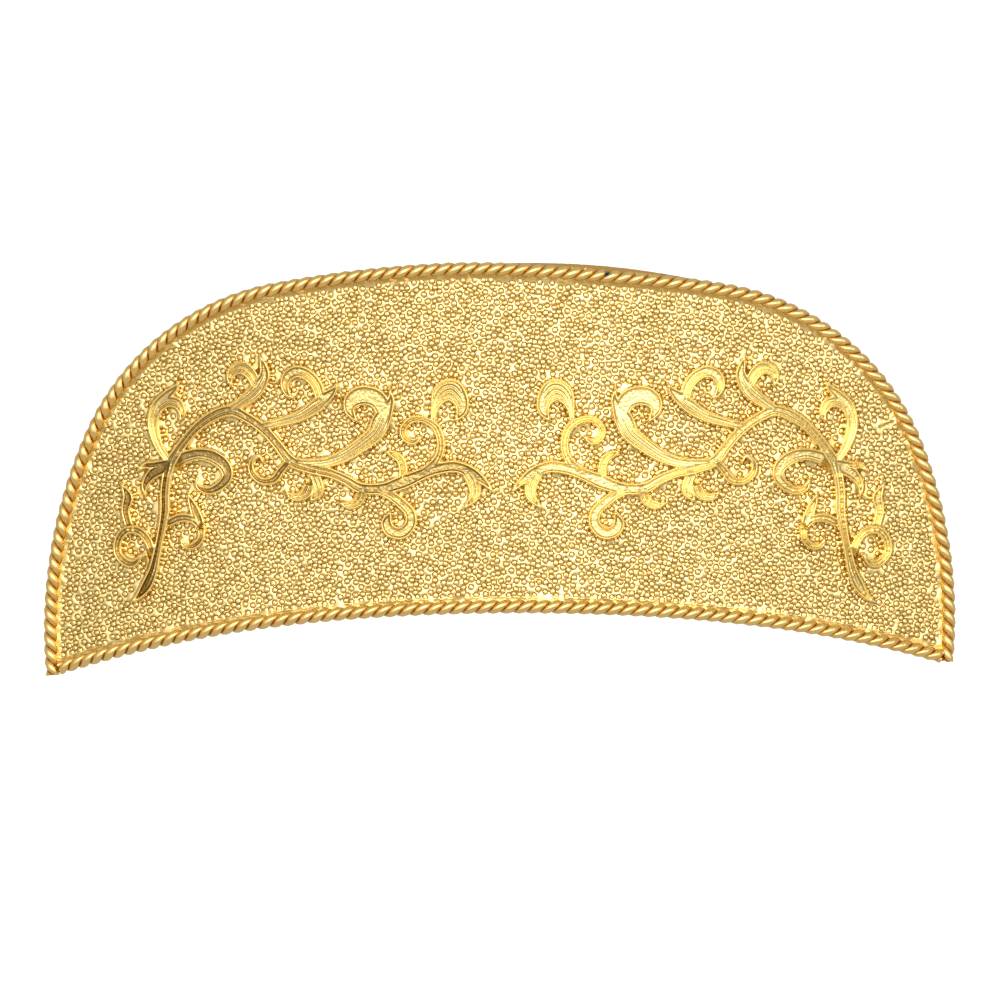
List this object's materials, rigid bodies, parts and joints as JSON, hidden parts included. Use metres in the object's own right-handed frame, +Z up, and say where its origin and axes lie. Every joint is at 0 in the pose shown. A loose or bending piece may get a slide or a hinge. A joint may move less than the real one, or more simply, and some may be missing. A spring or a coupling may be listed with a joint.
{
  "type": "tiara front",
  "caption": "Bent gilt-brass tiara plate with a twisted rope edge, a ring-punched front, two applied acanthus scrolls and strap loops on its back.",
  "frame": {"origin": "middle of the box at the surface that the tiara lies on", "axes": "+X to the right as its front is looked at, +Y towards the top edge, +Z up, out of the convex front"},
  "size_m": [0.15, 0.0702, 0.0216],
  "materials": {
    "gilt_plate": "gilt, ring punched, polished",
    "gilt_casting": "gilt casting, burnished edges with darker hollows"
  },
  "bodies": {
    "root": {"plate": "gilt_plate", "scroll_left": "gilt_casting", "scroll_right": "gilt_casting"}
  },
  "joints": []
}
